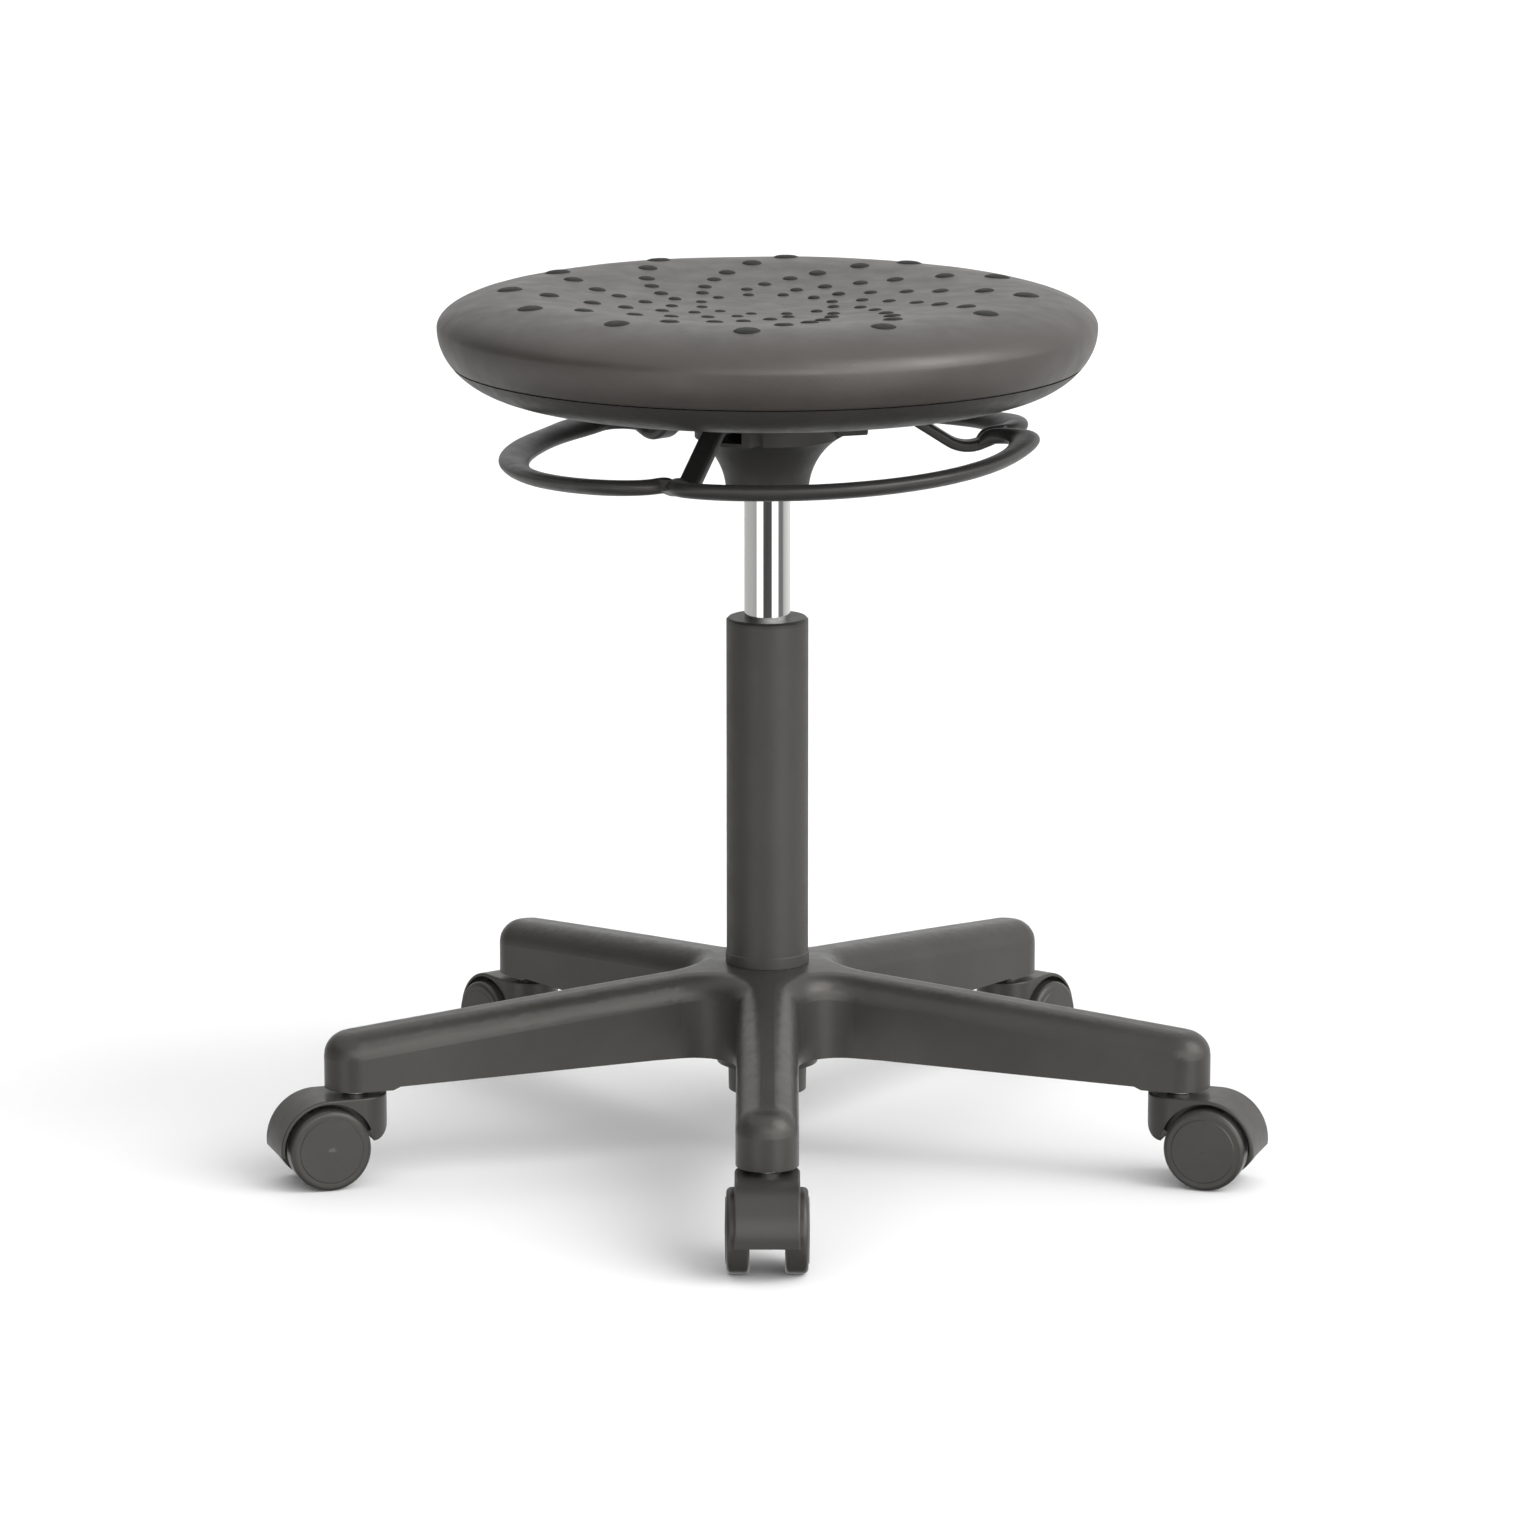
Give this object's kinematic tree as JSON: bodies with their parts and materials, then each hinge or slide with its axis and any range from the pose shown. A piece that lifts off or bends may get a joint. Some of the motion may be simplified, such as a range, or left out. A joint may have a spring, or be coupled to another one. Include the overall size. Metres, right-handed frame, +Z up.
{
  "type": "swivel stool",
  "caption": "Height-adjustable round swivel stool with a dished pad, a ring lever under the seat, a gas column and a star base on twin-wheel casters.",
  "frame": {"origin": "on the floor under the column's axis, with the seat at the height in the picture", "axes": "+Z up along the column, -Y towards the picture's camera and the front leg, +X to its right"},
  "size_m": [0.6064, 0.5769, 0.5303],
  "materials": {
    "star_plastic": "fine grained satin nylon",
    "column_paint": "satin powder coat",
    "column_plastic": "satin",
    "seat_plastic": "fine grained satin",
    "lever_plastic": "satin",
    "caster_plastic": "satin",
    "wheel_plastic": "satin",
    "pad_foam": "skinned soft foam with a leather-like sheen",
    "plywood": "bare plywood",
    "steel": "zinc plated",
    "chrome": "polished",
    "brass": "turned",
    "rubber": "matte",
    "inner_plastic": "natural acetal"
  },
  "bodies": {
    "base": {"base": "star_plastic", "column_tube": "column_paint", "guide_bush": "column_plastic", "tube_end_cap": "steel", "lower_race": "steel", "caster_stems": "steel", "grip_rings": "steel"},
    "rod": {"piston_rod": "chrome", "upper_race": "steel", "bearing_cage": "inner_plastic", "bearing_balls": "steel", "rubber_buffer": "rubber", "rod_washer": "steel", "rod_clip": "steel", "piston": "inner_plastic", "piston_seal": "rubber", "piston_nut": "steel"},
    "seat": {"gas_cylinder": "chrome", "inner_tube": "steel", "rod_guide": "inner_plastic", "rod_seal": "rubber", "valve_body": "brass", "seat_hub": "seat_plastic", "seat_shell": "seat_plastic", "seat_board": "plywood", "seat_pad": "pad_foam", "seat_screws": "steel", "tee_nuts": "steel", "shell_screws": "steel"},
    "lever": {"ring_lever": "lever_plastic"},
    "button": {"valve_button": "steel"},
    "caster_1": {"caster_1_hood": "caster_plastic", "caster_1_axle": "steel"},
    "wheel_1_left": {"caster_1_wheel_left": "wheel_plastic"},
    "wheel_1_right": {"caster_1_wheel_right": "wheel_plastic"},
    "caster_2": {"caster_2_hood": "caster_plastic", "caster_2_axle": "steel"},
    "wheel_2_left": {"caster_2_wheel_left": "wheel_plastic"},
    "wheel_2_right": {"caster_2_wheel_right": "wheel_plastic"},
    "caster_3": {"caster_3_hood": "caster_plastic", "caster_3_axle": "steel"},
    "wheel_3_left": {"caster_3_wheel_left": "wheel_plastic"},
    "wheel_3_right": {"caster_3_wheel_right": "wheel_plastic"},
    "caster_4": {"caster_4_hood": "caster_plastic", "caster_4_axle": "steel"},
    "wheel_4_left": {"caster_4_wheel_left": "wheel_plastic"},
    "wheel_4_right": {"caster_4_wheel_right": "wheel_plastic"},
    "caster_5": {"caster_5_hood": "caster_plastic", "caster_5_axle": "steel"},
    "wheel_5_left": {"caster_5_wheel_left": "wheel_plastic"},
    "wheel_5_right": {"caster_5_wheel_right": "wheel_plastic"}
  },
  "joints": [
    {"name": "seat_swivel", "type": "hinge", "parent": "base", "child": "rod", "pos_m": [0, 0, 0.0445], "axis": [0, 0, 1], "continuous": true},
    {"name": "seat_lift", "type": "slide", "parent": "rod", "child": "seat", "axis": [0, 0, 1], "range_m": [-0.06, 0.07]},
    {"name": "ring_tilt", "type": "hinge", "parent": "seat", "child": "lever", "pos_m": [0.05778, 0.00505, 0.4642], "axis": [0.0872, -0.9962, 0], "range_deg": [0, 3.2], "stiffness_Nm_per_rad": 20, "springref_deg": -5.73},
    {"name": "valve_press", "type": "slide", "parent": "seat", "child": "button", "axis": [0, 0, -1], "range_m": [0, 0.0033]},
    {"name": "caster_1_swivel", "type": "hinge", "parent": "base", "child": "caster_1", "pos_m": [0, -0.262, 0.055], "axis": [0, 0, 1], "continuous": true},
    {"name": "caster_1_left_roll", "type": "hinge", "parent": "caster_1", "child": "wheel_1_left", "pos_m": [0, -0.283, 0.025], "axis": [1, 0, 0], "continuous": true},
    {"name": "caster_1_right_roll", "type": "hinge", "parent": "caster_1", "child": "wheel_1_right", "pos_m": [0, -0.283, 0.025], "axis": [1, 0, 0], "continuous": true},
    {"name": "caster_2_swivel", "type": "hinge", "parent": "base", "child": "caster_2", "pos_m": [0.24918, -0.08096, 0.055], "axis": [0, 0, 1], "continuous": true},
    {"name": "caster_2_left_roll", "type": "hinge", "parent": "caster_2", "child": "wheel_2_left", "pos_m": [0.26915, -0.08745, 0.025], "axis": [0.309, 0.9511, 0], "continuous": true},
    {"name": "caster_2_right_roll", "type": "hinge", "parent": "caster_2", "child": "wheel_2_right", "pos_m": [0.26915, -0.08745, 0.025], "axis": [0.309, 0.9511, 0], "continuous": true},
    {"name": "caster_3_swivel", "type": "hinge", "parent": "base", "child": "caster_3", "pos_m": [0.154, 0.21196, 0.055], "axis": [0, 0, 1], "continuous": true},
    {"name": "caster_3_left_roll", "type": "hinge", "parent": "caster_3", "child": "wheel_3_left", "pos_m": [0.16634, 0.22895, 0.025], "axis": [-0.809, 0.5878, 0], "continuous": true},
    {"name": "caster_3_right_roll", "type": "hinge", "parent": "caster_3", "child": "wheel_3_right", "pos_m": [0.16634, 0.22895, 0.025], "axis": [-0.809, 0.5878, 0], "continuous": true},
    {"name": "caster_4_swivel", "type": "hinge", "parent": "base", "child": "caster_4", "pos_m": [-0.154, 0.21196, 0.055], "axis": [0, 0, 1], "continuous": true},
    {"name": "caster_4_left_roll", "type": "hinge", "parent": "caster_4", "child": "wheel_4_left", "pos_m": [-0.16634, 0.22895, 0.025], "axis": [-0.809, -0.5878, 0], "continuous": true},
    {"name": "caster_4_right_roll", "type": "hinge", "parent": "caster_4", "child": "wheel_4_right", "pos_m": [-0.16634, 0.22895, 0.025], "axis": [-0.809, -0.5878, 0], "continuous": true},
    {"name": "caster_5_swivel", "type": "hinge", "parent": "base", "child": "caster_5", "pos_m": [-0.24918, -0.08096, 0.055], "axis": [0, 0, 1], "continuous": true},
    {"name": "caster_5_left_roll", "type": "hinge", "parent": "caster_5", "child": "wheel_5_left", "pos_m": [-0.26915, -0.08745, 0.025], "axis": [0.309, -0.9511, 0], "continuous": true},
    {"name": "caster_5_right_roll", "type": "hinge", "parent": "caster_5", "child": "wheel_5_right", "pos_m": [-0.26915, -0.08745, 0.025], "axis": [0.309, -0.9511, 0], "continuous": true}
  ],
  "couplings": [
    {"joint": "valve_press", "follows": "ring_tilt", "m_per_rad": 0.0579}
  ]
}
